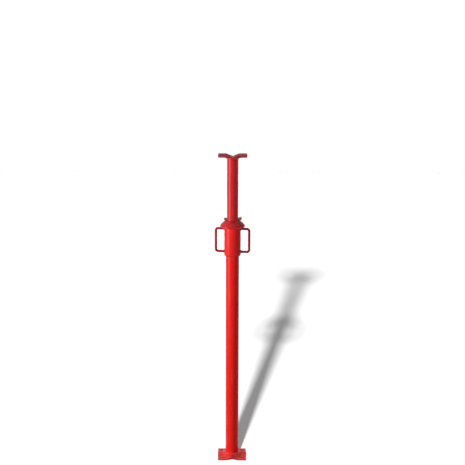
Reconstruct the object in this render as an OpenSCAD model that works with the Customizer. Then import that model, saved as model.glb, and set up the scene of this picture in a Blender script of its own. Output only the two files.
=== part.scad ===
// Adjustable steel prop with a covered thread.
// A square base plate carries the outer tube. A threaded sleeve with two handles
// turns on a ring at the top of that tube, and lifts a dished washer. The pin
// through the inner tube stands on the washer, so the inner tube and its head
// plate follow the sleeve up and down.
// Origin: centre of the base plate's underside. +Z runs up the prop.

/* [End plates] */
// Side of the square base and head plates
plate_w = 120; // [110:1:160]
// Thickness of the plate's sheet
plate_t = 5; // [4:0.5:7]
// Radius of the plate's corners
plate_corner_r = 6; // [2:1:10]
// Width of each pressed rib at its foot
rib_w = 60; // [54:1:66]
// Height of the pressed ribs and of the table in the middle
rib_h = 10; // [8:0.5:12]
// Radius of a rib's crest and of its feet
rib_r = 10; // [8:1:14]
// Width of the flat rim of the table, outside the tube
table_margin = 6.5; // [6:0.5:10]
// Distance between the nail holes, both ways
nail_spacing = 86; // [80:1:96]
// Diameter of the nail holes
nail_hole_d = 11; // [8:0.5:13]

/* [Outer tube] */
// Outside diameter of the outer tube
outer_d = 55; // [53:0.5:60]
// Wall of the outer tube
outer_wall = 2.5; // [2:0.1:2.7]
// Length of the outer tube
outer_len = 990; // [860:1:1300]
// Height of the guide bush in the mouth of the outer tube
bush_h = 30; // [15:1:40]
// Radial play between the inner tube and the guide bush
guide_play = 0.4; // [0.3:0.1:0.7]

/* [Thread] */
// Radial height of the threaded ring on the outer tube
ring_t = 2.5; // [2:0.1:4]
// Length of the threaded ring
ring_h = 16; // [10:1:18]
// Radial play between the threaded ring and the sleeve
thread_play = 0.2; // [0.1:0.05:0.4]
// Size of the weld bead on top of the threaded ring
ring_weld = 2; // [1:0.5:2.5]

/* [Sleeve] */
// Wall of the sleeve
sleeve_wall = 4.2; // [3:0.1:6]
// Length of the sleeve
sleeve_len = 127; // [124:1:160]
// Height of the sleeve's top end above the outer tube
sleeve_rise = 1; // [0.5:0.5:4]
// Height of the lip that closes the sleeve's lower end
lip_h = 4; // [3:0.5:4.5]
// Radial play between the lip and the outer tube
lip_play = 0.4; // [0.3:0.1:1]
// Radius on the outside of the sleeve's lower end
sleeve_end_r = 4; // [2:0.5:6]
// How much the sleeve narrows towards its lower end
sleeve_taper = 0.3; // [0:0.1:1.2]
// Height over which the sleeve narrows
sleeve_taper_h = 10; // [8:1:40]
// Diameter of the flange round the sleeve's top
flange_d = 104; // [92:1:120]
// Thickness of the flange
flange_t = 7; // [6:0.5:12]
// Radius on the flange's rim
flange_edge_r = 2; // [0.5:0.5:2.5]
// Height of the slope under the flange's rim
flange_slope_h = 3.5; // [1:0.5:4]
// Width of the slope under the flange's rim
flange_slope_w = 5; // [1:0.5:8]
// Size of the weld bead under the flange
flange_weld_leg = 4; // [2:0.5:6]

/* [Handles] */
// Diameter of the round bar of the handles
bar_d = 10; // [8:0.5:14]
// Distance between a handle's upper and lower bars
handle_h = 97; // [70:1:100]
// Reach of a handle from the sleeve's wall to the middle of its grip
handle_reach = 36.5; // [28:0.5:60]
// Radius of a handle's bends, along the middle of the bar
handle_bend_r = 10; // [8:0.5:16]
// Turn of the handles about the prop at rest, in degrees
handle_turn = -11; // [-90:1:90]
// Size of the weld beads round the ends of the handles
handle_weld_leg = 3; // [2:0.5:4]

/* [Bearing washer] */
// Height of the dished washer
washer_h = 21; // [18:0.1:34]
// Thickness of the dished washer
washer_t = 6; // [4:0.5:7]
// Width of the flat ring at the top, where the pin stands
washer_seat_w = 7; // [5:0.5:9]
// Radial play between the washer and the inner tube
washer_play = 0.8; // [0.4:0.1:1.2]
// How far the flange's rim stands out past the washer
washer_inset = 1; // [0.5:0.5:4]
// Height of the washer's upright rim
washer_rim_h = 3; // [2:0.5:5]
// Roundness of the washer's side: 0 is a plain cone, 1 is a full dome
washer_dome = 0.25; // [0:0.05:1]

/* [Inner tube] */
// Outside diameter of the inner tube
inner_d = 47; // [44:0.5:48]
// Wall of the inner tube
inner_wall = 2.5; // [2:0.1:4]
// Number of pin holes
hole_count = 7; // [2:1:8]
// Distance between the pin holes
hole_pitch = 100; // [80:1:110]
// Diameter of the pin holes
pin_hole_d = 14; // [13:0.5:18]
// Distance from the top hole to the top of the head plate
top_hole_drop = 271.1; // [180:0.1:320]
// Length of the inner tube below its lowest hole
tail_len = 200; // [160:1:210]
// Height of the stop collar at the inner tube's foot
collar_h = 20; // [10:1:30]
// Radial play between the stop collar and the outer tube
collar_play = 0.3; // [0.3:0.1:0.6]

/* [Pin] */
// Diameter of the pin
pin_d = 12; // [10:0.5:12.5]
// How far the pin's tip stands out of the inner tube
pin_tip_out = 12; // [8:1:20]
// Straight length of the pin between the inner tube and its bend
pin_shoulder = 1.5; // [1:0.5:10]
// Radius of the pin's bend, along the middle of the bar
pin_bend_r = 8; // [7:0.5:16]
// Angle of the pin's bend, in degrees
pin_bend = 90; // [45:1:90]
// Length of the pin's grip beyond the bend
pin_grip = 24; // [10:1:34]
// Length of the chamfer on the pin's ends
pin_chamfer = 2; // [1:0.5:4]

/* [Fits] */
// Gap between pieces that bear on each other
seat_gap = 0.3; // [0.2:0.05:0.5]
// Size of the weld beads between the tubes and the end plates
tube_weld = 5; // [3:0.5:6]

/* [Hidden] */
$fn = 96;
eps = 0.5;

// How full a weld bead is: 0.5 is a flat one, more is a raised one
bead_fill = 0.62;
// Share of the room beside the inner tube that the stop collar's bead takes
collar_bead_share = 0.9;
// Depth to which a handle's weld is drawn into the sleeve's wall, before it is cut to fit
weld_root = 3.4;

// Radii
outer_r = outer_d / 2;
outer_bore_r = outer_r - outer_wall;
inner_r = inner_d / 2;
inner_bore_r = inner_r - inner_wall;
bush_bore_r = inner_r + guide_play;
ring_r = outer_r + ring_t;
sleeve_bore_r = ring_r + thread_play;
sleeve_r = sleeve_bore_r + sleeve_wall;
lip_bore_r = outer_r + lip_play;
flange_r = flange_d / 2;
washer_r = flange_r - washer_inset;
washer_bore_r = inner_r + washer_play;
washer_seat_r = washer_bore_r + washer_seat_w;
collar_r = outer_bore_r - collar_play;
table_r = outer_r + table_margin;
bar_r = bar_d / 2;

// Heights at rest, from the base plate's underside
table_z = plate_t + rib_h;
outer_top = table_z + outer_len;
ring_top = outer_top - ring_weld;
sleeve_top = outer_top + sleeve_rise;
sleeve_bottom = sleeve_top - sleeve_len;
flange_bottom = sleeve_top - flange_t;
handle_top_z = flange_bottom - seat_gap - bar_r;
handle_mid_z = handle_top_z - handle_h / 2;
washer_bottom = sleeve_top + seat_gap;
washer_top = washer_bottom + washer_h;
pin_z = washer_top + seat_gap + pin_d / 2;
top_hole_z = pin_z - (pin_hole_d - pin_d) / 2 + seat_gap;
low_hole_z = top_hole_z - (hole_count - 1) * hole_pitch;
head_z = top_hole_z + top_hole_drop;
inner_top = head_z - table_z;
inner_bottom = low_hole_z - tail_len;

// Point at an angle on a circle
function on_circle(centre, r, a) = centre + r * [cos(a), sin(a)];

// Points of an arc between two angles
function arc(centre, r, from, to, steps) =
    [for (i = [0:steps]) on_circle(centre, r, from + (to - from) * i / steps)];

// Slope of a rib's flank, which touches the arcs of its crest and its foot
function rib_slope(w, h, r) =
    let (across = w / 2, up = 2 * r - h)
    asin(2 * r / norm([across, up])) - atan2(up, across);

// One pressed rib in section: round crest, straight flanks, round feet
module rib_section(lift) {
    slope = rib_slope(rib_w, rib_h, rib_r);
    crest = arc([0, rib_h - rib_r], rib_r, 90 - slope, 90 + slope, 6);
    right_foot = [rib_w / 2, rib_r];
    left_foot = [-rib_w / 2, rib_r];
    translate([0, lift])
        polygon(concat(
            [[rib_w / 2 + 1, -plate_t - eps], [rib_w / 2 + 1, 0]],
            arc(right_foot, rib_r, 270, 270 - slope, 4),
            crest,
            arc(left_foot, rib_r, 270 + slope, 270, 4),
            [[-rib_w / 2 - 1, 0], [-rib_w / 2 - 1, -plate_t - eps]]
        ));
}

// Both crossing ribs and the round table in the middle, at a given lift
module pressing(lift, length) {
    for (turn = [0, 90])
        rotate([0, 0, turn])
            rotate([90, 0, 0])
                linear_extrude(length, center = true)
                    rib_section(lift);
    translate([0, 0, lift - plate_t])
        cylinder(h = rib_h + plate_t, r1 = table_r + rib_h + plate_t, r2 = table_r);
}

// Square plate outline with round corners
module plate_outline() {
    inner = plate_w - 2 * plate_corner_r;
    square([inner, plate_w], center = true);
    square([plate_w, inner], center = true);
    for (x = [-1, 1], y = [-1, 1])
        translate([x, y] * inner / 2)
            circle(r = plate_corner_r);
}

// Pressed end plate, standing on its four flat corners
module end_plate() {
    difference() {
        intersection() {
            union() {
                translate([-plate_w / 2, -plate_w / 2, 0])
                    cube([plate_w, plate_w, plate_t]);
                pressing(plate_t, plate_w);
            }
            linear_extrude(table_z + 1)
                plate_outline();
        }
        pressing(0, plate_w + 2 * eps);
        for (x = [-1, 1], y = [-1, 1])
            translate([x * nail_spacing / 2, y * nail_spacing / 2, -eps])
                cylinder(h = plate_t + 2 * eps, d = nail_hole_d);
    }
}

// Weld bead in the corner between a tube and a flat face below it
module bead(r, leg) {
    rotate_extrude()
        polygon([[r, 0], [r + leg, 0], [r + leg * bead_fill, leg * bead_fill], [r, leg]]);
}

// Plain ring
module ring(r_out, r_in, h) {
    difference() {
        cylinder(h = h, r = r_out);
        translate([0, 0, -eps])
            cylinder(h = h + 2 * eps, r = r_in);
    }
}

module base_plate() {
    color("firebrick")
        end_plate();
}

module base_weld() {
    color("firebrick")
        translate([0, 0, table_z])
            bead(outer_r, tube_weld);
}

module outer_tube() {
    color("red")
        translate([0, 0, table_z])
            ring(outer_r, outer_bore_r, outer_len);
}

// Liner in the tube's mouth: it guides the inner tube and stops its collar
module guide_bush() {
    color("dimgray")
        translate([0, 0, outer_top - bush_h])
            ring(outer_bore_r, bush_bore_r, bush_h);
}

module thread_ring() {
    color("dimgray")
        translate([0, 0, ring_top - ring_h])
            ring(ring_r, outer_r, ring_h);
}

module thread_weld() {
    color("dimgray")
        translate([0, 0, ring_top])
            bead(outer_r, ring_weld);
}

// Long threaded sleeve with a closed-in lower end
module sleeve_shell() {
    end_r = sleeve_r - sleeve_taper;
    color("red")
        rotate_extrude()
            polygon(concat(
                [[lip_bore_r, sleeve_bottom]],
                arc([end_r - sleeve_end_r, sleeve_bottom + sleeve_end_r], sleeve_end_r, 270, 360, 6),
                [
                    [sleeve_r, sleeve_bottom + sleeve_taper_h],
                    [sleeve_r, sleeve_top],
                    [sleeve_bore_r, sleeve_top],
                    [sleeve_bore_r, sleeve_bottom + lip_h],
                    [lip_bore_r, sleeve_bottom + lip_h]
                ]
            ));
}

// Flange ring that carries the bearing washer: sloped below its rim, round above it
module sleeve_flange() {
    rim_centre = [flange_r - flange_edge_r, sleeve_top - flange_edge_r];
    color("red")
        rotate_extrude()
            polygon(concat(
                [
                    [sleeve_r, flange_bottom],
                    [flange_r - flange_slope_w, flange_bottom],
                    [flange_r, flange_bottom + flange_slope_h]
                ],
                arc(rim_centre, flange_edge_r, 0, 90, 4),
                [[sleeve_r, sleeve_top]]
            ));
}

// Bead under the flange, broken where the handles meet the sleeve
module flange_weld() {
    break_r = bar_r + 1.5 * handle_weld_leg;
    color("firebrick")
        difference() {
            translate([0, 0, flange_bottom])
                mirror([0, 0, 1])
                    bead(sleeve_r, flange_weld_leg);
            for (side = [0, 180])
                handle_place(side)
                    translate([0, 0, handle_h / 2])
                        rotate([0, 90, 0])
                            cylinder(h = flange_r, r = break_r);
        }
}

// Frame of a handle: X runs out from the prop, the origin is level with its grip
module handle_place(side) {
    translate([0, 0, handle_mid_z])
        rotate([0, 0, handle_turn + side])
            children();
}

// Handle bent from one round bar, coped to the sleeve
module handle(side) {
    grip_x = sleeve_r + handle_reach;
    straight = grip_x - handle_bend_r;
    half = handle_h / 2 - handle_bend_r;
    color("crimson")
        handle_place(side)
            difference() {
                union() {
                    translate([grip_x, 0, -half])
                        cylinder(h = 2 * half, r = bar_r);
                    for (end = [-1, 1]) {
                        translate([0, 0, end * handle_h / 2])
                            rotate([0, 90, 0])
                                cylinder(h = straight, r = bar_r);
                        translate([straight, 0, end * half])
                            rotate([90, end > 0 ? 0 : 90, 0])
                                rotate_extrude(angle = 90)
                                    translate([handle_bend_r, 0])
                                        circle(r = bar_r);
                    }
                }
                cylinder(h = handle_h + bar_d + 2, r = sleeve_r, center = true);
            }
}

module handle_left() {
    handle(180);
}

module handle_right() {
    handle(0);
}

// Four beads round the handles' ends
module handle_welds() {
    color("firebrick")
        for (side = [0, 180], end = [-1, 1])
            handle_place(side)
                difference() {
                    translate([sleeve_r - weld_root, 0, end * handle_h / 2])
                        rotate([0, 90, 0])
                            cylinder(
                                h = weld_root + handle_weld_leg,
                                r1 = bar_r + handle_weld_leg + weld_root,
                                r2 = bar_r
                            );
                    translate([0, 0, end * handle_h / 2])
                        rotate([0, 90, 0])
                            cylinder(h = flange_r, r = bar_r);
                    cylinder(h = handle_h * 2, r = sleeve_r, center = true);
                    translate([-flange_r, -flange_r, flange_bottom - handle_mid_z])
                        cube([2 * flange_r, 2 * flange_r, washer_h]);
                }
}

// Dished washer: flat seat for the pin, domed side, upright rim
module bearing_washer() {
    side = [washer_r - washer_seat_r, washer_h - washer_rim_h];
    cone = 1 - washer_dome;
    steps = 8;
    color("firebrick")
        translate([0, 0, washer_bottom])
            rotate_extrude()
                polygon(concat(
                    [[washer_r - washer_t, 0], [washer_r, 0]],
                    [for (i = [0:steps])
                        let (a = 90 * i / steps, s = i / steps)
                        [
                            washer_r - side[0] * (cone * s + washer_dome * (1 - cos(a))),
                            washer_rim_h + side[1] * (cone * s + washer_dome * sin(a))
                        ]],
                    [[washer_bore_r, washer_h], [washer_bore_r, washer_h - washer_t]],
                    [[washer_seat_r - washer_t / 3, washer_h - washer_t]],
                    [[washer_r - washer_t, washer_rim_h]]
                ));
}

// Inner tube with a row of holes straight through both walls
module inner_tube() {
    color("red")
        difference() {
            translate([0, 0, inner_bottom])
                ring(inner_r, inner_bore_r, inner_top - inner_bottom);
            for (i = [0:hole_count - 1])
                translate([0, 0, top_hole_z - i * hole_pitch])
                    rotate([0, 90, 0])
                        cylinder(h = inner_d + 2 * eps, d = pin_hole_d, center = true);
        }
}

// Collar that runs in the outer tube and can't pass the guide bush
module stop_collar() {
    color("dimgray")
        translate([0, 0, inner_bottom])
            ring(collar_r, inner_r, collar_h);
}

module collar_weld() {
    color("dimgray")
        translate([0, 0, inner_bottom + collar_h])
            bead(inner_r, (collar_r - inner_r) * collar_bead_share);
}

module head_plate() {
    color("firebrick")
        translate([0, 0, head_z])
            mirror([0, 0, 1])
                end_plate();
}

module head_weld() {
    color("firebrick")
        translate([0, 0, inner_top])
            mirror([0, 0, 1])
                bead(inner_r, tube_weld);
}

// Pin bent from one round bar: straight shank through the tube, grip to the back
module pin() {
    tip_x = -inner_r - pin_tip_out;
    bend_x = inner_r + pin_shoulder;
    pin_r = pin_d / 2;
    color("dimgray")
        translate([0, 0, pin_z]) {
            translate([tip_x + pin_chamfer, 0, 0])
                rotate([0, 90, 0])
                    cylinder(h = bend_x - tip_x - pin_chamfer, r = pin_r);
            translate([tip_x, 0, 0])
                rotate([0, 90, 0])
                    cylinder(h = pin_chamfer, r1 = pin_r - pin_chamfer, r2 = pin_r);
            translate([bend_x, pin_bend_r, 0])
                rotate([0, 0, -90])
                    rotate_extrude(angle = pin_bend)
                        translate([pin_bend_r, 0])
                            circle(r = pin_r);
            translate([bend_x, pin_bend_r, 0])
                rotate([0, 0, pin_bend - 90])
                    translate([pin_bend_r, 0, 0])
                        rotate([-90, 0, 0]) {
                            cylinder(h = pin_grip, r = pin_r);
                            translate([0, 0, pin_grip])
                                cylinder(h = pin_chamfer, r1 = pin_r, r2 = pin_r - pin_chamfer);
                        }
        }
}

base_plate();
base_weld();
outer_tube();
guide_bush();
thread_ring();
thread_weld();
sleeve_shell();
sleeve_flange();
flange_weld();
handle_left();
handle_right();
handle_welds();
bearing_washer();
inner_tube();
stop_collar();
collar_weld();
head_plate();
head_weld();
pin();
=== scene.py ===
import math

import bmesh
import bpy
from mathutils import Matrix, Vector, noise


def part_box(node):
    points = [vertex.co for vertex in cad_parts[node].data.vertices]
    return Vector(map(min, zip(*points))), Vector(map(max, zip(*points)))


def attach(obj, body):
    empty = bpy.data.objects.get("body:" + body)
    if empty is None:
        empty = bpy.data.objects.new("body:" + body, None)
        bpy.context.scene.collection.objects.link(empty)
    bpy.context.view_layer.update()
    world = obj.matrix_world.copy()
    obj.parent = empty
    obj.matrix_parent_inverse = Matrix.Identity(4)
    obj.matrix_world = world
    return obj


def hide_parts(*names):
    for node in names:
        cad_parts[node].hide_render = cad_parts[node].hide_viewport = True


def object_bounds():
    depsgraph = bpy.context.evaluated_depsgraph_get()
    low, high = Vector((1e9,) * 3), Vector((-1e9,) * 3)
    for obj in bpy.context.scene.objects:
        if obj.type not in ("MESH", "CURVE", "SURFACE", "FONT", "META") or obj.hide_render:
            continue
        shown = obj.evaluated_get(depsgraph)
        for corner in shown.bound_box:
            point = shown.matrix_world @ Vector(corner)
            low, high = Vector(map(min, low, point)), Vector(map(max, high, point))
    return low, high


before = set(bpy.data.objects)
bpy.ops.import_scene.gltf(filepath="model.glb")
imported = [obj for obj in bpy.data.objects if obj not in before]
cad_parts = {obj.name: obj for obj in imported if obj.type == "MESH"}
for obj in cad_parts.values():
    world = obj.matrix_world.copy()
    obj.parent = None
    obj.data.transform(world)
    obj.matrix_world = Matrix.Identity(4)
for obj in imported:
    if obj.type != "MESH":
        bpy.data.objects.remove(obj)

cad_low, cad_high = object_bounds()

# ---------------------------------------------------------------- Camera
# A standing person's view of the prop: eyes a little above its head plate, a few
# steps away, looking slightly down with a short telephoto lens.
eye_distance = 3.654
eye_height = 1.525
look_down = math.radians(8.53)
camera_roll = math.radians(0.16)
bpy.ops.object.camera_add(
    location=(0.0, -eye_distance, cad_low.z + eye_height),
    rotation=(math.pi / 2 - look_down, 0.0, 0.0),
)
camera = bpy.context.object
camera.name = "camera"
camera.rotation_euler.rotate_axis("Z", camera_roll)
camera.data.sensor_width = 36.0
camera.data.lens = 68.4
bpy.context.scene.camera = camera
bpy.context.scene.view_settings.view_transform = "Standard"


# ---------------------------------------------------------------- Studio
# A pale seamless floor. It looks white and keeps the prop's shadow, but throws only
# a little light back, as a floor does that is much smaller than the one drawn here.
def add_node(tree, kind, wires=None, **settings):
    """A node with its settings, whose inputs are given as numbers, colours or other nodes' outputs."""
    made = tree.nodes.new(kind)
    for name, value in settings.items():
        setattr(made, name, value)
    for name, value in (wires or {}).items():
        if isinstance(value, bpy.types.NodeSocket):
            tree.links.new(value, made.inputs[name])
        else:
            made.inputs[name].default_value = value
    return made


def maths(tree, operation, *values):
    """The result of one sum, product or other simple operation."""
    return add_node(tree, "ShaderNodeMath", dict(enumerate(values)), operation=operation).outputs[0]


def remap(tree, value, from_low, from_high, to_low=0.0, to_high=1.0):
    """A value stretched from one range to another, and held at its ends."""
    wires = {"Value": value, "From Min": from_low, "From Max": from_high, "To Min": to_low, "To Max": to_high}
    return add_node(tree, "ShaderNodeMapRange", wires).outputs[0]


def blend(tree, share, first, second):
    """A colour between two others."""
    wires = {"Factor": share, "A": first, "B": second}
    return add_node(tree, "ShaderNodeMix", wires, data_type="RGBA").outputs["Result"]


def where_looked_at(tree):
    """1 for what is seen straight, in a shiny surface or through a clear one, and 0 for bounced light."""
    rays = add_node(tree, "ShaderNodeLightPath").outputs
    mirrored = maths(tree, "MAXIMUM", rays["Is Glossy Ray"], rays["Is Transmission Ray"])
    return maths(tree, "MAXIMUM", rays["Is Camera Ray"], mirrored)


floor_side = 30.0
bpy.ops.mesh.primitive_plane_add(size=floor_side, location=(0.0, 0.0, cad_low.z))
floor = bpy.context.object
floor.name = "floor"
floor_paint = bpy.data.materials.new("floor_paint")
floor_paint.use_nodes = True
tree = floor_paint.node_tree
tree.nodes.clear()
floor_colour = blend(tree, where_looked_at(tree), (0.12, 0.12, 0.12, 1.0), (0.96, 0.96, 0.96, 1.0))
floor_matt = add_node(tree, "ShaderNodeBsdfDiffuse", {"Color": floor_colour}).outputs[0]
add_node(tree, "ShaderNodeOutputMaterial", {"Surface": floor_matt})
floor.data.materials.append(floor_paint)

# The air round the prop: white where it is looked at, a weak even light elsewhere.
world = bpy.data.worlds.new("studio_air")
bpy.context.scene.world = world
world.use_nodes = True
tree = world.node_tree
tree.nodes.clear()
air_strength = remap(tree, where_looked_at(tree), 0.0, 1.0, 0.11, 1.0)
air_glow = add_node(tree, "ShaderNodeBackground", {"Color": (1.0, 1.0, 1.0, 1.0), "Strength": air_strength})
add_node(tree, "ShaderNodeOutputWorld", {"Surface": air_glow.outputs[0]})

# Lamps. A tall soft box on the left models the tubes, weak ones fill the front and the
# back, and two more light the floor alone: one throws the long shadow, one is the sky.
floor_only = bpy.data.collections.new("floor_only")
floor_only.objects.link(floor)
all_but_floor = bpy.data.collections.new("all_but_floor")
all_but_floor.objects.link(floor)
all_but_floor.collection_objects[0].light_linking.link_state = "EXCLUDE"
aim_height = 0.7


def soft_box(name, azimuth, elevation, distance, width, height, watts):
    """A rectangular lamp aimed at the middle of the prop. Azimuth 0 is in front, 90 at the left."""
    middle = Vector((0.0, 0.0, cad_low.z + aim_height))
    turn = math.radians(azimuth)
    rise = math.radians(elevation)
    away = Vector((-math.sin(turn) * math.cos(rise), -math.cos(turn) * math.cos(rise), math.sin(rise)))
    aim = away.to_track_quat("Z", "Y").to_euler()
    bpy.ops.object.light_add(type="AREA", location=middle + away * distance, rotation=aim)
    lamp = bpy.context.object
    lamp.name = name
    lamp.data.shape = "RECTANGLE"
    lamp.data.size = width
    lamp.data.size_y = height
    lamp.data.energy = watts
    lamp.light_linking.receiver_collection = all_but_floor
    return lamp


soft_box("key_lamp", azimuth=64.0, elevation=6.0, distance=4.5, width=1.0, height=3.0, watts=178.0)
for name, azimuth, elevation, watts in (("fill_lamp", 0.0, 16.0, 46.0), ("back_lamp", 188.0, 14.0, 90.0)):
    weak_lamp = soft_box(name, azimuth, elevation, distance=4.2, width=2.4, height=2.4, watts=watts)
    weak_lamp.visible_glossy = False

# The shadow lamp is small. It stands in front of the prop, on the line from the shadow's tip
# through the prop's top, and so near that the shadow stays about as wide as the prop. Its
# strength grows with the cube of the distance, which lights the whole floor evenly, and
# floor_light is its power times its height.
shadow_azimuth = math.radians(8.6)
shadow_length = 4.04
lamp_share = 0.7
rated_distance = 5.0
floor_light = 4050.0
head_top = Vector((0.0, 0.0, cad_high.z))
shadow_tip = Vector((math.sin(shadow_azimuth), math.cos(shadow_azimuth), 0.0)) * shadow_length
shadow_tip.z = cad_low.z
bpy.ops.object.light_add(type="POINT", location=head_top + (head_top - shadow_tip) * lamp_share)
shadow_lamp = bpy.context.object
shadow_lamp.name = "shadow_lamp"
shadow_lamp.data.shadow_soft_size = 0.08
shadow_lamp.data.energy = floor_light / (shadow_lamp.location.z - cad_low.z)
shadow_lamp.visible_camera = False
shadow_lamp.visible_glossy = False
shadow_lamp.light_linking.receiver_collection = floor_only
shadow_lamp.data.use_nodes = True
tree = shadow_lamp.data.node_tree
ray_length = add_node(tree, "ShaderNodeLightPath").outputs["Ray Length"]
evened = maths(tree, "POWER", maths(tree, "DIVIDE", ray_length, rated_distance), 3.0)
tree.links.new(evened, tree.nodes["Emission"].inputs["Strength"])
bpy.ops.object.light_add(type="SUN")
sky_lamp = bpy.context.object
sky_lamp.name = "sky_lamp"
sky_lamp.data.energy = 0.56
sky_lamp.data.angle = math.radians(80.0)
sky_lamp.light_linking.receiver_collection = floor_only


# ---------------------------------------------------------------- Base plate
# A square of 5 mm steel sheet, pressed with two crossing ribs and a round table in the
# middle, so that it stands on four flat corners with a nail hole in each. Like the rest
# of the prop it is painted red, and it is scuffed most along its edges.
def nothing_selected():
    """Leaves edit mode and drops every selection, since operators act on all that is selected."""
    if bpy.context.object and bpy.context.object.mode != "OBJECT":
        bpy.ops.object.mode_set(mode="OBJECT")
    bpy.ops.object.select_all(action="DESELECT")


def only(piece):
    """Selects one piece and makes it the active one."""
    nothing_selected()
    piece.select_set(True)
    bpy.context.view_layer.objects.active = piece
    return piece


def modify(piece, name, kind, **settings):
    """Adds one modifier and applies it."""
    only(piece)
    added = piece.modifiers.new(name, kind)
    for key, value in settings.items():
        setattr(added, key, value)
    bpy.ops.object.modifier_apply(modifier=added.name)


def cut(piece, tool, operation="DIFFERENCE"):
    """Cuts a piece with a tool shape, and throws the tool away."""
    modify(piece, "cut", "BOOLEAN", object=tool, operation=operation, solver="EXACT")
    bpy.data.objects.remove(tool)


def break_edges(piece, width, degrees=40.0):
    """Takes the sharpness off a piece's edges."""
    sharp = math.radians(degrees)
    modify(piece, "broken_edges", "BEVEL", width=width, segments=2, limit_method="ANGLE", angle_limit=sharp)


def finish_piece(piece, name, material, body, replaced, recalculate=True):
    """Puts a piece's place into its mesh, smooths it, paints it and fixes it to its body.

    recalculate turns its faces outwards, which a pressed plate's already are.
    """
    only(piece)
    bpy.ops.object.transform_apply(location=True, rotation=True, scale=True)
    if recalculate:
        bpy.ops.object.mode_set(mode="EDIT")
        bpy.ops.mesh.select_all(action="SELECT")
        bpy.ops.mesh.normals_make_consistent(inside=False)
        bpy.ops.object.mode_set(mode="OBJECT")
    bpy.ops.object.shade_smooth_by_angle(angle=math.radians(35.0))
    piece.name = name
    piece.data.name = name
    piece.data.materials.clear()
    piece.data.materials.append(material)
    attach(piece, body)
    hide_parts(replaced)


plate_low, plate_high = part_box("base_plate")
plate_side = plate_high.x - plate_low.x
plate_sheet = 0.005
plate_rise = plate_high.z - plate_low.z - plate_sheet
plate_corner = 0.006
plate_holes = 0.043
nail_hole = 0.0055
drill_length = 0.04
rib_half = 0.03
rib_round = 0.01
table_radius = 0.034
table_foot = table_radius + plate_rise


def rib_height(across):
    """Height of a pressed rib's underside at a distance from its middle line."""
    lift = 2.0 * rib_round - plate_rise
    slope = math.asin(2.0 * rib_round / math.hypot(rib_half, lift)) - math.atan2(lift, rib_half)
    crest_end = rib_round * math.sin(slope)
    foot_start = rib_half - crest_end
    across = abs(across)
    if across < crest_end:
        return plate_rise - rib_round + math.sqrt(rib_round ** 2 - across ** 2)
    if across < foot_start:
        return plate_rise - rib_round * (1.0 - math.cos(slope)) - (across - crest_end) * math.tan(slope)
    if across < rib_half:
        return rib_round - math.sqrt(rib_round ** 2 - (rib_half - across) ** 2)
    return 0.0


def pressed_height(x, y):
    """Height of the whole pressing: the highest of the ribs and the table, with soft corners between."""
    softness = 0.0011
    flat_reach = 0.002
    table = min(plate_rise, max(0.0, table_foot - math.hypot(x, y)))
    forms = [rib_height(x), rib_height(y), table]
    blended = softness * math.log(sum(math.exp(form / softness) for form in forms))
    flat_lift = softness * math.log(3.0) * math.exp(-max(forms) / flat_reach)
    return min(plate_rise, blended - flat_lift)


# The sheet is pressed a little too wide, and then trimmed to a square with round corners.
trimmed_off = 0.002
sheet_steps = 121
nothing_selected()
bpy.ops.mesh.primitive_grid_add(
    x_subdivisions=sheet_steps, y_subdivisions=sheet_steps, size=plate_side + 2.0 * trimmed_off
)
base_plate = bpy.context.object
bpy.ops.object.mode_set(mode="EDIT")
pressing = bmesh.from_edit_mesh(base_plate.data)
for corner in pressing.verts:
    corner.co.z = pressed_height(corner.co.x, corner.co.y)
bmesh.update_edit_mesh(base_plate.data)
bpy.ops.object.mode_set(mode="OBJECT")
modify(base_plate, "sheet", "SOLIDIFY", thickness=plate_sheet, offset=1.0, use_even_offset=True)

blank_height = 0.1
nothing_selected()
bpy.ops.mesh.primitive_cube_add(
    size=1.0, location=(0.0, 0.0, 0.01), scale=(plate_side, plate_side, blank_height)
)
blank = only(bpy.context.object)
bpy.ops.object.transform_apply(location=True, rotation=True, scale=True)
bpy.ops.object.mode_set(mode="EDIT")
bpy.ops.mesh.select_all(action="DESELECT")
outline = bmesh.from_edit_mesh(blank.data)
for edge in outline.edges:
    edge.select = abs(edge.verts[0].co.z - edge.verts[1].co.z) > blank_height / 2.0
bmesh.update_edit_mesh(blank.data)
bpy.ops.mesh.bevel(offset=plate_corner, segments=8, affect="EDGES")
bpy.ops.object.mode_set(mode="OBJECT")
cut(base_plate, blank, "INTERSECT")
for side_x in (-1, 1):
    for side_y in (-1, 1):
        nothing_selected()
        spot = (side_x * plate_holes, side_y * plate_holes, 0.0)
        bpy.ops.mesh.primitive_cylinder_add(vertices=48, radius=nail_hole, depth=drill_length, location=spot)
        cut(base_plate, bpy.context.object)

# The cuts leave short edges beside this bevel, and Blender narrows it to 0.03 mm for them.
break_edges(base_plate, 0.0007, 50.0)


# The paint is one coat of satin red shop paint over mild steel. It is laid on a little
# unevenly, rubbed through on edges, knocked off in chips and dusty in places. Its corners
# are darkened as dirt and painted shade.
def new_effect(name, inputs, outputs):
    """An empty group for one effect. A socket given with a number holds a value, one with None a colour."""
    group = bpy.data.node_groups.new(name, "ShaderNodeTree")
    for direction, sockets in (("INPUT", inputs), ("OUTPUT", outputs)):
        for label, value in sockets.items():
            kind = "NodeSocketColor" if value is None else "NodeSocketFloat"
            made = group.interface.new_socket(name=label, in_out=direction, socket_type=kind)
            if value is not None:
                made.default_value = value
    return group


def own_place(tree):
    """Where a spot lies on its piece, in metres."""
    return add_node(tree, "ShaderNodeTexCoord").outputs["Object"]


def stretched(tree, place, height_scale, rotation=(0.0, 0.0, 0.0)):
    """Places squeezed along the prop, so that a pattern on them runs in streaks."""
    wires = {"Vector": place, "Rotation": rotation, "Scale": (1.0, 1.0, height_scale)}
    return add_node(tree, "ShaderNodeMapping", wires).outputs[0]


def mottle(tree, place, scale, detail):
    """A cloudy pattern from 0 to 1."""
    wires = {"Vector": place, "Scale": scale, "Detail": detail}
    return add_node(tree, "ShaderNodeTexNoise", wires).outputs[0]


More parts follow.
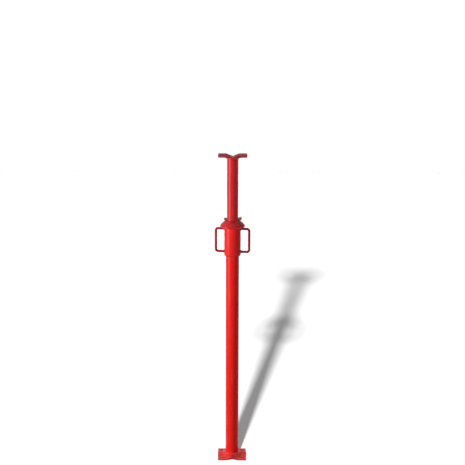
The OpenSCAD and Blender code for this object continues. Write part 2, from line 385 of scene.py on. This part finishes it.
def make_paint_film():
    """Brushed or dipped paint: thicker and thinner coat, sags, chalky scuffs and fine orange peel."""
    inputs = {"Bright": None, "Deep": None, "Patchiness": 0.5}
    group = new_effect("paint_film", inputs, {"Colour": None, "Roughness": 0.0, "Height": 0.0})
    given = group.nodes.new("NodeGroupInput").outputs
    place = own_place(group)
    patches = mottle(group, place, 9.0, 4.0)
    sags = mottle(group, stretched(group, place, 0.14), 95.0, 3.0)
    peel = mottle(group, place, 520.0, 2.0)
    spread = remap(group, maths(group, "ADD", patches, sags), 0.75, 1.25)
    strength = maths(group, "MULTIPLY", spread, given["Patchiness"])
    tone = blend(group, strength, given["Bright"], given["Deep"])
    scuffs = mottle(group, stretched(group, place, 0.07, (0.4, 0.2, 0.0)), 330.0, 3.0)
    scuff = remap(group, scuffs, 0.6, 0.72, 0.0, 0.4)
    chalky = blend(group, 0.16, given["Bright"], (0.9, 0.72, 0.7, 1.0))
    shine = remap(group, patches, 0.0, 1.0, 0.24, 0.44)
    film = {
        "Colour": blend(group, scuff, tone, chalky),
        "Roughness": maths(group, "MULTIPLY_ADD", scuff, 0.5, shine),
        "Height": maths(group, "MULTIPLY_ADD", sags, 1.4, peel),
    }
    add_node(group, "NodeGroupOutput", film)
    return group


def make_rubbed_steel():
    """Mask of paint rubbed off sharp edges and knocked off in chips, and the steel under it."""
    inputs = {"Edge wear": 0.5, "Chips": 0.3, "Extra": 0.0}
    group = new_effect("rubbed_steel", inputs, {"Mask": 0.0, "Steel": None})
    given = group.nodes.new("NodeGroupInput").outputs
    place = own_place(group)
    rounded = add_node(group, "ShaderNodeBevel", {"Radius": 0.002}, samples=6).outputs[0]
    facing = add_node(group, "ShaderNodeNewGeometry").outputs["Normal"]
    flatness = add_node(group, "ShaderNodeVectorMath", {0: rounded, 1: facing}, operation="DOT_PRODUCT")
    edge = remap(group, flatness.outputs["Value"], 0.999, 0.93)
    grit = mottle(group, place, 210.0, 5.0)
    broad = mottle(group, place, 24.0, 2.0)
    worn = maths(group, "MULTIPLY_ADD", edge, given["Edge wear"], given["Extra"])
    torn = maths(group, "ADD", maths(group, "ADD", worn, grit), broad)
    knocks = add_node(group, "ShaderNodeTexVoronoi", {"Vector": place, "Scale": 34.0}).outputs["Distance"]
    knock = maths(group, "MULTIPLY_ADD", grit, 0.3, knocks)
    reach = remap(group, given["Chips"], 0.0, 1.0, 0.17, 0.34)
    rare = maths(group, "GREATER_THAN", broad, 0.56)
    chip = maths(group, "MULTIPLY", maths(group, "LESS_THAN", knock, reach), rare)
    rust = remap(group, mottle(group, place, 130.0, 6.0), 0.42, 0.6)
    bare = {
        "Mask": maths(group, "MAXIMUM", remap(group, torn, 1.42, 1.47), chip),
        "Steel": blend(group, rust, (0.1, 0.075, 0.07, 1.0), (0.085, 0.03, 0.02, 1.0)),
    }
    add_node(group, "NodeGroupOutput", bare)
    return group


def make_grime_and_shade():
    """Masks of the dust that settles on flat and sloping tops, and of dirt and painted shade in corners."""
    group = new_effect("grime_and_shade", {}, {"Dust": 0.0, "Dirt_and_shade": 0.0})
    facing = add_node(group, "ShaderNodeNewGeometry").outputs["Normal"]
    upward = add_node(group, "ShaderNodeSeparateXYZ", {0: facing}).outputs["Z"]
    settled = remap(group, mottle(group, own_place(group), 44.0, 5.0), 0.38, 0.66)
    # Painted shade: ambient occlusion finds corners and crevices, which are darkened as dirt and shade.
    open_air = add_node(group, "ShaderNodeAmbientOcclusion", {"Distance": 0.01}, samples=6).outputs["AO"]
    soil_and_shade = {
        "Dust": maths(group, "MULTIPLY", remap(group, upward, 0.3, 0.95), settled),
        "Dirt_and_shade": maths(group, "MULTIPLY", remap(group, open_air, 0.78, 0.3), settled),
    }
    add_node(group, "NodeGroupOutput", soil_and_shade)
    return group


paint_film = make_paint_film()
rubbed_steel = make_rubbed_steel()
grime_and_shade = make_grime_and_shade()


def red_paint(name, bright, deep, patchiness, edge_wear, chips, gloss=0.1, rubbed=None, marks=None):
    """A finished coat of red paint.

    rubbed(tree) may add a mask of worn paint, such as a pin's seat. marks(tree) may add a
    relief of the metal under the paint, such as the rings of a lathe.
    """
    material = bpy.data.materials.new(name)
    material.use_nodes = True
    tree = material.node_tree
    film_wires = {"Bright": (*bright, 1.0), "Deep": (*deep, 1.0), "Patchiness": patchiness}
    film = add_node(tree, "ShaderNodeGroup", film_wires, node_tree=paint_film).outputs
    bare_wires = {"Edge wear": edge_wear, "Chips": chips}
    if rubbed:
        bare_wires["Extra"] = rubbed(tree)
    bare = add_node(tree, "ShaderNodeGroup", bare_wires, node_tree=rubbed_steel).outputs
    soil_and_shade = add_node(tree, "ShaderNodeGroup", node_tree=grime_and_shade).outputs
    # Dirt and painted shade: corners and crevices are darkened towards a near-black red.
    dirt_and_shade = maths(tree, "MULTIPLY", soil_and_shade["Dirt_and_shade"], 0.36)
    dust = maths(tree, "MULTIPLY", soil_and_shade["Dust"], 0.14)
    colour = blend(tree, bare["Mask"], film["Colour"], bare["Steel"])
    colour = blend(tree, dirt_and_shade, colour, (0.1, 0.03, 0.022, 1.0))
    colour = blend(tree, dust, colour, (0.6, 0.42, 0.36, 1.0))
    roughness = remap(tree, bare["Mask"], 0.0, 1.0, film["Roughness"], 0.5)
    relief = maths(tree, "MULTIPLY_ADD", bare["Mask"], -2.2, film["Height"])
    if marks:
        relief = maths(tree, "ADD", relief, marks(tree))
    bump = add_node(tree, "ShaderNodeBump", {"Height": relief, "Strength": 0.5, "Distance": 0.00016})
    shader = tree.nodes["Principled BSDF"]
    shader.inputs["Specular IOR Level"].default_value = gloss
    tree.links.new(colour, shader.inputs["Base Color"])
    tree.links.new(maths(tree, "MULTIPLY_ADD", dust, 1.5, roughness), shader.inputs["Roughness"])
    tree.links.new(maths(tree, "MULTIPLY", bare["Mask"], 0.7), shader.inputs["Metallic"])
    tree.links.new(bump.outputs[0], shader.inputs["Normal"])
    return material


def pressed_skin(tree):
    """Shallow unevenness and a few dents in hot pressed sheet."""
    return maths(tree, "MULTIPLY", mottle(tree, own_place(tree), 48.0, 2.0), 6.0)


plate_red = red_paint(
    "plate_red",
    bright=(0.95, 0.04, 0.036),
    deep=(0.8, 0.022, 0.03),
    patchiness=0.7,
    edge_wear=0.35,
    chips=0.35,
    gloss=0.2,
    marks=pressed_skin,
)
finish_piece(
    base_plate, "pressed_base_plate", plate_red, "outer_post", "base_plate", recalculate=False
)


# ---------------------------------------------------------------- Weld at the foot
# A hand-laid fillet weld of mild steel, all round the foot of the outer tube. Each dab
# left a crescent ripple, and the bead is a little fuller in some places than in others.
def ripple_bead(radius, leg, height, upward, ripples, seed):
    """A ring of weld in the corner of a tube and a flat face."""
    bead_radius = radius + leg * 0.2
    bead_lift = leg * 0.12
    nothing_selected()
    bpy.ops.mesh.primitive_torus_add(
        major_segments=ripples * 6, minor_segments=16, major_radius=bead_radius, minor_radius=leg * 0.72
    )
    bead = bpy.context.object
    bpy.ops.object.mode_set(mode="EDIT")
    ring = bmesh.from_edit_mesh(bead.data)
    for corner in ring.verts:
        angle = math.atan2(corner.co.y, corner.co.x)
        out = math.hypot(corner.co.x, corner.co.y) - bead_radius
        up = corner.co.z
        lean = 0.9 * math.cos(math.atan2(up, out) - math.pi / 4.0)
        wave = abs(math.sin((angle * ripples + lean) / 2.0))
        drift = noise.noise(Vector((math.cos(angle) * 2.0, math.sin(angle) * 2.0, seed)))
        swell = 0.88 + 0.13 * wave + 0.12 * drift
        corner.co.x = (bead_radius + out * swell) * math.cos(angle)
        corner.co.y = (bead_radius + out * swell) * math.sin(angle)
        corner.co.z = height + upward * (up * swell + bead_lift)
    bmesh.update_edit_mesh(bead.data)
    bpy.ops.object.mode_set(mode="OBJECT")
    return bead


outer_low, outer_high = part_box("outer_tube")
outer_radius = outer_high.x
weld_red = red_paint(
    "weld_red",
    bright=(0.96, 0.024, 0.018),
    deep=(0.7, 0.012, 0.012),
    patchiness=0.8,
    edge_wear=0.3,
    chips=0.5,
    gloss=0.6,
)
base_bead = ripple_bead(outer_radius, leg=0.005, height=outer_low.z, upward=1, ripples=44, seed=1.7)
finish_piece(base_bead, "base_weld_bead", weld_red, "outer_post", "base_weld")


# ---------------------------------------------------------------- Outer tube
# Welded steel tube, cut square and welded upright on the base plate. Its edges are
# broken, and the mill's seam shows faintly through the paint down the back.
def turned(outline, steps=128):
    """A turned piece: its outline of (radius, height) points is spun once round the prop."""
    nothing_selected()
    bpy.ops.mesh.primitive_circle_add(vertices=len(outline), radius=1.0)
    piece = bpy.context.object
    bpy.ops.object.mode_set(mode="EDIT")
    shape = bmesh.from_edit_mesh(piece.data)
    shape.verts.ensure_lookup_table()
    for corner, (radius, height) in zip(shape.verts, outline):
        corner.co = (radius, 0.0, height)
    bmesh.update_edit_mesh(piece.data)
    bpy.ops.mesh.select_all(action="SELECT")
    bpy.ops.mesh.spin(steps=steps, angle=2.0 * math.pi, center=(0.0, 0.0, 0.0), axis=(0.0, 0.0, 1.0))
    bpy.ops.mesh.select_all(action="SELECT")
    bpy.ops.mesh.remove_doubles(threshold=0.00001)
    bpy.ops.mesh.normals_make_consistent(inside=False)
    bpy.ops.object.mode_set(mode="OBJECT")
    return piece


def plain_tube(radius, wall, low, high):
    """A tube with square ends."""
    return turned([(radius, low), (radius, high), (radius - wall, high), (radius - wall, low)])


def mill_seam(tree):
    """A thin upright line at the back of the tube, where its edges were welded."""
    split = add_node(tree, "ShaderNodeSeparateXYZ", {0: own_place(tree)}).outputs
    off = maths(tree, "ABSOLUTE", maths(tree, "SUBTRACT", split["X"], -0.011))
    line = maths(tree, "LESS_THAN", off, 0.0007)
    behind = maths(tree, "GREATER_THAN", split["Y"], 0.0)
    return maths(tree, "MULTIPLY", maths(tree, "MULTIPLY", line, behind), 0.12)


outer_wall = 0.0025
outer_tube = plain_tube(outer_radius, outer_wall, outer_low.z, outer_high.z)
break_edges(outer_tube, 0.0004)
outer_red = red_paint(
    "outer_tube_red",
    bright=(0.96, 0.019, 0.012),
    deep=(0.8, 0.011, 0.012),
    patchiness=0.45,
    edge_wear=0.5,
    chips=0.22,
    rubbed=mill_seam,
)
finish_piece(outer_tube, "outer_tube_drawn", outer_red, "outer_post", "outer_tube")

# ---------------------------------------------------------------- Sleeve
# Thick steel tube, threaded inside, with its lower end turned in to a lip that just
# clears the outer tube and keeps dirt off the thread. Its two handles turn it.
thread_play = 0.0002
lip_play = 0.0004
lip_height = 0.004
end_round = 0.004
end_taper = 0.0003
taper_height = 0.01
shell_low, shell_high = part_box("sleeve_shell")
shell_radius = shell_high.x
shell_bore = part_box("thread_ring")[1].x + thread_play
lip_bore = outer_radius + lip_play
end_radius = shell_radius - end_taper
end_arc = [
    (
        end_radius - end_round + end_round * math.sin(step * math.pi / 16),
        shell_low.z + end_round - end_round * math.cos(step * math.pi / 16),
    )
    for step in range(9)
]
sleeve_shell = turned(
    [(lip_bore, shell_low.z)]
    + end_arc
    + [
        (shell_radius, shell_low.z + taper_height),
        (shell_radius, shell_high.z),
        (shell_bore, shell_high.z),
        (shell_bore, shell_low.z + lip_height),
        (lip_bore, shell_low.z + lip_height),
    ]
)
break_edges(sleeve_shell, 0.0004, 50.0)


def lathe_marks(tree):
    """Fine rings left by the turning tool, which the paint has half filled."""
    wires = {"Vector": own_place(tree), "Scale": 190.0, "Distortion": 1.6, "Detail": 2.0}
    rings = add_node(tree, "ShaderNodeTexWave", wires, bands_direction="Z").outputs["Fac"]
    return maths(tree, "MULTIPLY", rings, 0.18)


sleeve_red = red_paint(
    "sleeve_red",
    bright=(0.96, 0.024, 0.021),
    deep=(0.8, 0.013, 0.018),
    patchiness=0.55,
    edge_wear=0.5,
    chips=0.3,
    gloss=0.12,
    marks=lathe_marks,
)
finish_piece(sleeve_shell, "sleeve_turned", sleeve_red, "sleeve", "sleeve_shell")

# ---------------------------------------------------------------- Flange
# A forged steel ring welded round the top of the sleeve, sloped below its rim and round
# above. The handles are welded close under it, and the washer lies on it.
flange_round = 0.002
slope_width = 0.005
slope_height = 0.0035
flange_low, flange_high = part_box("sleeve_flange")
flange_radius = flange_high.x
flange_rim = [
    (
        flange_radius - flange_round * (1.0 - math.cos(step * math.pi / 12)),
        flange_high.z - flange_round * (1.0 - math.sin(step * math.pi / 12)),
    )
    for step in range(7)
]
flange = turned(
    [
        (shell_radius, flange_low.z),
        (flange_radius - slope_width, flange_low.z),
        (flange_radius, flange_low.z + slope_height),
    ]
    + flange_rim
    + [(shell_radius, flange_high.z)]
)
finish_piece(flange, "flange_ring", sleeve_red, "sleeve", "sleeve_flange")
flange_bead = ripple_bead(shell_radius, leg=0.004, height=flange_low.z, upward=-1, ripples=52, seed=4.2)
finish_piece(flange_bead, "flange_weld_bead", weld_red, "sleeve", "flange_weld")


# ---------------------------------------------------------------- Handles
# Two D handles, each bent from one length of round steel bar and welded to the sleeve
# at both ends. Hands and hammer blows have chipped their thin, dark coat.
def bent_bar(start, heading, radius, sides=32):
    """The first ring of a round bar, ready to be drawn out. heading is the way it runs."""
    nothing_selected()
    aim = Vector(heading).to_track_quat("Z", "Y").to_euler()
    bpy.ops.mesh.primitive_circle_add(
        vertices=sides, radius=radius, fill_type="NGON", location=start, rotation=aim
    )
    piece = bpy.context.object
    bpy.ops.object.transform_apply(location=True, rotation=True, scale=True)
    bpy.ops.object.mode_set(mode="EDIT")
    bpy.ops.mesh.select_all(action="SELECT")
    return piece


def draw_bar(move):
    """Draws the open end of the bar along a straight line."""
    bpy.ops.mesh.extrude_region_move(TRANSFORM_OT_translate={"value": move})


def bend_bar(centre, axis, degrees, steps):
    """Bends the open end of the bar round a centre."""
    bpy.ops.mesh.spin(steps=steps, angle=-math.radians(degrees), center=centre, axis=axis)


def close_bar():
    """Merges the rings that lie double where a stretch ends, and leaves edit mode."""
    bpy.ops.mesh.select_all(action="SELECT")
    bpy.ops.mesh.remove_doubles(threshold=0.00001)
    bpy.ops.object.mode_set(mode="OBJECT")


def copy_piece(piece, move):
    """A copy of a piece, with a mesh of its own that is moved to its place."""
    copied = bpy.data.objects.new(piece.name, piece.data.copy())
    bpy.context.scene.collection.objects.link(copied)
    copied.data.transform(move)
    return copied


bar_radius = 0.005
bend_radius = 0.01
root_depth = 0.002
grip_steps = 4
right_low, right_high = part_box("handle_right")
grip_x = right_high.x - bar_radius
grip_y = right_low.y + bar_radius
handle_turn = math.atan2(grip_y, grip_x)
handle_top = right_high.z - bar_radius
handle_foot = right_low.z + bar_radius
handle_root = shell_radius - root_depth
handle_bend = math.hypot(grip_x, grip_y) - bend_radius
grip_length = handle_top - handle_foot - 2.0 * bend_radius

# The bar is drawn out along X, bent down and back, and turned to its place round the sleeve.
right_handle = bent_bar((handle_root, 0.0, handle_top), (1.0, 0.0, 0.0), bar_radius)
draw_bar((handle_bend - handle_root, 0.0, 0.0))
bend_bar((handle_bend, 0.0, handle_top - bend_radius), (0.0, 1.0, 0.0), 90.0, 10)
for _ in range(grip_steps):
    draw_bar((0.0, 0.0, -grip_length / grip_steps))
bend_bar((handle_bend, 0.0, handle_foot + bend_radius), (0.0, 1.0, 0.0), 90.0, 10)
draw_bar((handle_root - handle_bend, 0.0, 0.0))
close_bar()
right_handle.data.transform(Matrix.Rotation(handle_turn, 4, "Z"))
left_handle = copy_piece(right_handle, Matrix.Rotation(math.pi, 4, "Z"))
handle_red = red_paint(
    "handle_red",
    bright=(0.44, 0.012, 0.034),
    deep=(0.28, 0.008, 0.024),
    patchiness=0.8,
    edge_wear=0.3,
    chips=0.6,
)
finish_piece(right_handle, "handle_bar_right", handle_red, "sleeve", "handle_right")
finish_piece(left_handle, "handle_bar_left", handle_red, "sleeve", "handle_left")

# Four weld beads hold the handles' ends to the sleeve, and follow its round wall.
bead_round = 0.0016
bead_reach = bar_radius + 0.0004
bead_lift = 0.0006
handle_beads = []
for turn in (handle_turn, handle_turn + math.pi):
    for height in (handle_top, handle_foot):
        nothing_selected()
        bpy.ops.mesh.primitive_torus_add(
            major_segments=72, minor_segments=12, major_radius=bead_reach, minor_radius=bead_round
        )
        bead = bpy.context.object
        bpy.ops.object.mode_set(mode="EDIT")
        ring = bmesh.from_edit_mesh(bead.data)
        for corner in ring.verts:
            angle = math.atan2(corner.co.y, corner.co.x)
            swell = 1.0 + 0.1 * abs(math.sin(angle * 7.0 + turn)) + 0.1 * noise.noise(corner.co * 300.0)
            across = Vector((corner.co.x, corner.co.y)) * swell
            depth = corner.co.z * swell
            wall = shell_radius - math.sqrt(max(0.0, shell_radius ** 2 - across.y ** 2))
            corner.co = (shell_radius - wall + depth + bead_lift, across.y, height + across.x)
            corner.co = Matrix.Rotation(turn, 3, "Z") @ corner.co
        bmesh.update_edit_mesh(bead.data)
        bpy.ops.object.mode_set(mode="OBJECT")
        handle_beads.append(bead)
nothing_selected()
for bead in handle_beads:
    bead.select_set(True)
bpy.context.view_layer.objects.active = handle_beads[0]
bpy.ops.object.join()
finish_piece(handle_beads[0], "handle_weld_beads", handle_red, "sleeve", "handle_welds")

# ---------------------------------------------------------------- Bearing washer
# A dished washer pressed from thick steel plate, which lies loose on the flange. The pin
# stands on its narrow top, where the paint is crushed through to the steel.
dish_play = 0.0008
dish_land = 0.007
dish_sheet = 0.006
rim_height = 0.003
straight_share = 0.75
dish_low, dish_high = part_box("bearing_washer")
inner_low, inner_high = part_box("inner_tube")
inner_radius = inner_high.x
dish_radius = dish_high.x
dish_bore = inner_radius + dish_play
dish_seat = dish_bore + dish_land
dish_rim = dish_low.z + rim_height
dish_side = []
for step in range(13):
    share = step / 12.0
    turn = share * math.pi / 2.0
    inward = straight_share * share + (1.0 - straight_share) * (1.0 - math.cos(turn))
    upward = straight_share * share + (1.0 - straight_share) * math.sin(turn)
    dish_side.append((
        dish_radius - (dish_radius - dish_seat) * inward,
        dish_rim + (dish_high.z - dish_rim) * upward,
    ))
dish = turned(
    [(dish_radius - dish_sheet, dish_low.z), (dish_radius, dish_low.z)]
    + dish_side
    + [
        (dish_bore, dish_high.z),
        (dish_bore, dish_high.z - dish_sheet),
        (dish_seat - dish_sheet / 3.0, dish_high.z - dish_sheet),
        (dish_radius - dish_sheet, dish_rim),
    ]
)
break_edges(dish, 0.0008, 30.0)


def pin_seat(tree):
    """Wear on the washer's flat top, where the pin stands and slips about."""
    height = add_node(tree, "ShaderNodeSeparateXYZ", {0: own_place(tree)}).outputs["Z"]
    top = remap(tree, height, dish_high.z - 0.002, dish_high.z - 0.0002)
    return maths(tree, "MULTIPLY", top, 0.46)


dish_red = red_paint(
    "washer_red",
    bright=(0.9, 0.022, 0.024),
    deep=(0.36, 0.01, 0.024),
    patchiness=1.0,
    edge_wear=0.8,
    chips=0.5,
    rubbed=pin_seat,
    marks=pressed_skin,
)
finish_piece(dish, "dished_washer", dish_red, "washer", "bearing_washer")

# ---------------------------------------------------------------- Inner tube
# The upper steel tube, with pin holes drilled through both walls at an even distance.
# Sliding in and out of the outer tube has scored its paint lengthwise.
inner_wall = 0.0025
hole_radius = 0.007
hole_pitch = 0.1
hole_count = 7
pin_play = 0.0003
pin_low, pin_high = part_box("pin")
pin_radius = (pin_high.z - pin_low.z) / 2.0
pin_height = (pin_high.z + pin_low.z) / 2.0
top_hole = pin_height - (hole_radius - pin_radius) + pin_play
inner_tube = plain_tube(inner_radius, inner_wall, inner_low.z, inner_high.z)
for hole in range(hole_count):
    nothing_selected()
    bpy.ops.mesh.primitive_cylinder_add(
        vertices=48,
        radius=hole_radius,
        depth=inner_radius * 4.0,
        location=(0.0, 0.0, top_hole - hole * hole_pitch),
        rotation=(0.0, math.pi / 2.0, 0.0),
    )
    cut(inner_tube, bpy.context.object)


def slide_marks(tree):
    """Fine upright scores left by the guide bush."""
    scores = mottle(tree, stretched(tree, own_place(tree), 0.02), 420.0, 4.0)
    return remap(tree, scores, 0.6, 0.82, 0.0, 0.4)


inner_red = red_paint(
    "inner_tube_red",
    bright=(0.72, 0.02, 0.024),
    deep=(0.56, 0.012, 0.022),
    patchiness=0.5,
    edge_wear=0.5,
    chips=0.2,
    gloss=0.2,
    rubbed=slide_marks,
)
finish_piece(inner_tube, "inner_tube_drawn", inner_red, "inner_post", "inner_tube")

# ---------------------------------------------------------------- Head plate
# The same pressing of 5 mm steel sheet as the base plate, turned over and welded to the
# top of the inner tube. Its red is made darker and duller than the base plate's: painted
# shade on the same paint.
head_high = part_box("head_plate")[1]
turned_over = Matrix.Translation((0.0, 0.0, head_high.z)) @ Matrix.Rotation(math.pi, 4, "X")
head_plate = copy_piece(base_plate, turned_over)
# Painted shade: this red is the base plate's paint made darker, as it looks in shade.
head_red_shaded = red_paint(
    "head_red_shaded",
    bright=(0.52, 0.02, 0.046),
    deep=(0.34, 0.012, 0.034),
    patchiness=0.7,
    edge_wear=0.4,
    chips=0.35,
    gloss=0.06,
    marks=pressed_skin,
)
finish_piece(
    head_plate, "pressed_head_plate", head_red_shaded, "inner_post", "head_plate", recalculate=False
)
head_bead = ripple_bead(inner_radius, leg=0.005, height=inner_high.z, upward=-1, ripples=38, seed=8.3)
finish_piece(head_bead, "head_weld_bead", weld_red, "inner_post", "head_weld")

# ---------------------------------------------------------------- Pin
# A length of round steel bar, sheared and chamfered at its ends, with one end bent round
# for pulling it out. It is dark with mill scale, a little rust and traces of red paint.
bend_clearance = 0.0015
pin_bend = 0.008
pin_chamfer = 0.002
bend_start = inner_radius + bend_clearance
tip_radius = pin_radius - pin_chamfer
widened = pin_radius / tip_radius
narrowed = tip_radius / pin_radius
pin = bent_bar((pin_low.x, 0.0, pin_height), (1.0, 0.0, 0.0), tip_radius)
draw_bar((pin_chamfer, 0.0, 0.0))
bpy.ops.transform.resize(value=(1.0, widened, widened))
draw_bar((bend_start - pin_low.x - pin_chamfer, 0.0, 0.0))
bend_bar((bend_start, pin_bend, pin_height), (0.0, 0.0, 1.0), 90.0, 12)
draw_bar((0.0, pin_high.y - pin_bend - pin_chamfer, 0.0))
draw_bar((0.0, pin_chamfer, 0.0))
bpy.ops.transform.resize(value=(narrowed, 1.0, narrowed))
close_bar()
break_edges(pin, 0.0004, 25.0)


def steel(name, pale, dark, rust, rough, metallic):
    """Bare mild steel: scale, dull patches and specks of rust."""
    material = bpy.data.materials.new(name)
    material.use_nodes = True
    tree = material.node_tree
    place = own_place(tree)
    scale = mottle(tree, place, 60.0, 6.0)
    specks = mottle(tree, place, 340.0, 4.0)
    tone = blend(tree, remap(tree, scale, 0.36, 0.64), (*pale, 1.0), (*dark, 1.0))
    tone = blend(tree, remap(tree, specks, 0.56, 0.66), tone, (*rust, 1.0))
    dull = remap(tree, scale, 0.0, 1.0, rough - 0.12, rough + 0.12)
    bump = add_node(tree, "ShaderNodeBump", {"Height": specks, "Strength": 0.4, "Distance": 0.0001})
    shader = tree.nodes["Principled BSDF"]
    shader.inputs["Metallic"].default_value = metallic
    tree.links.new(tone, shader.inputs["Base Color"])
    tree.links.new(dull, shader.inputs["Roughness"])
    tree.links.new(bump.outputs[0], shader.inputs["Normal"])
    return material


pin_steel = steel(
    "pin_scale",
    pale=(0.36, 0.13, 0.14),
    dark=(0.16, 0.06, 0.07),
    rust=(0.3, 0.05, 0.04),
    rough=0.5,
    metallic=0.35,
)
finish_piece(pin, "bent_pin", pin_steel, "locking_pin", "pin")

# ---------------------------------------------------------------- Hidden pieces
# The guide bush, the stop collar and their welds are turned and welded mild steel, left
# bare inside the tubes. The threaded ring is black with oil.
bare_steel = steel(
    "bare_steel",
    pale=(0.3, 0.28, 0.26),
    dark=(0.16, 0.15, 0.14),
    rust=(0.14, 0.06, 0.03),
    rough=0.42,
    metallic=0.9,
)
oiled_steel = steel(
    "oiled_thread",
    pale=(0.12, 0.11, 0.095),
    dark=(0.05, 0.045, 0.04),
    rust=(0.07, 0.035, 0.02),
    rough=0.3,
    metallic=0.85,
)
hidden_coats = {
    "guide_bush": bare_steel,
    "thread_weld": bare_steel,
    "stop_collar": bare_steel,
    "collar_weld": bare_steel,
    "thread_ring": oiled_steel,
}
for hidden, coat in hidden_coats.items():
    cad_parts[hidden].data.materials.clear()
    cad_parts[hidden].data.materials.append(coat)
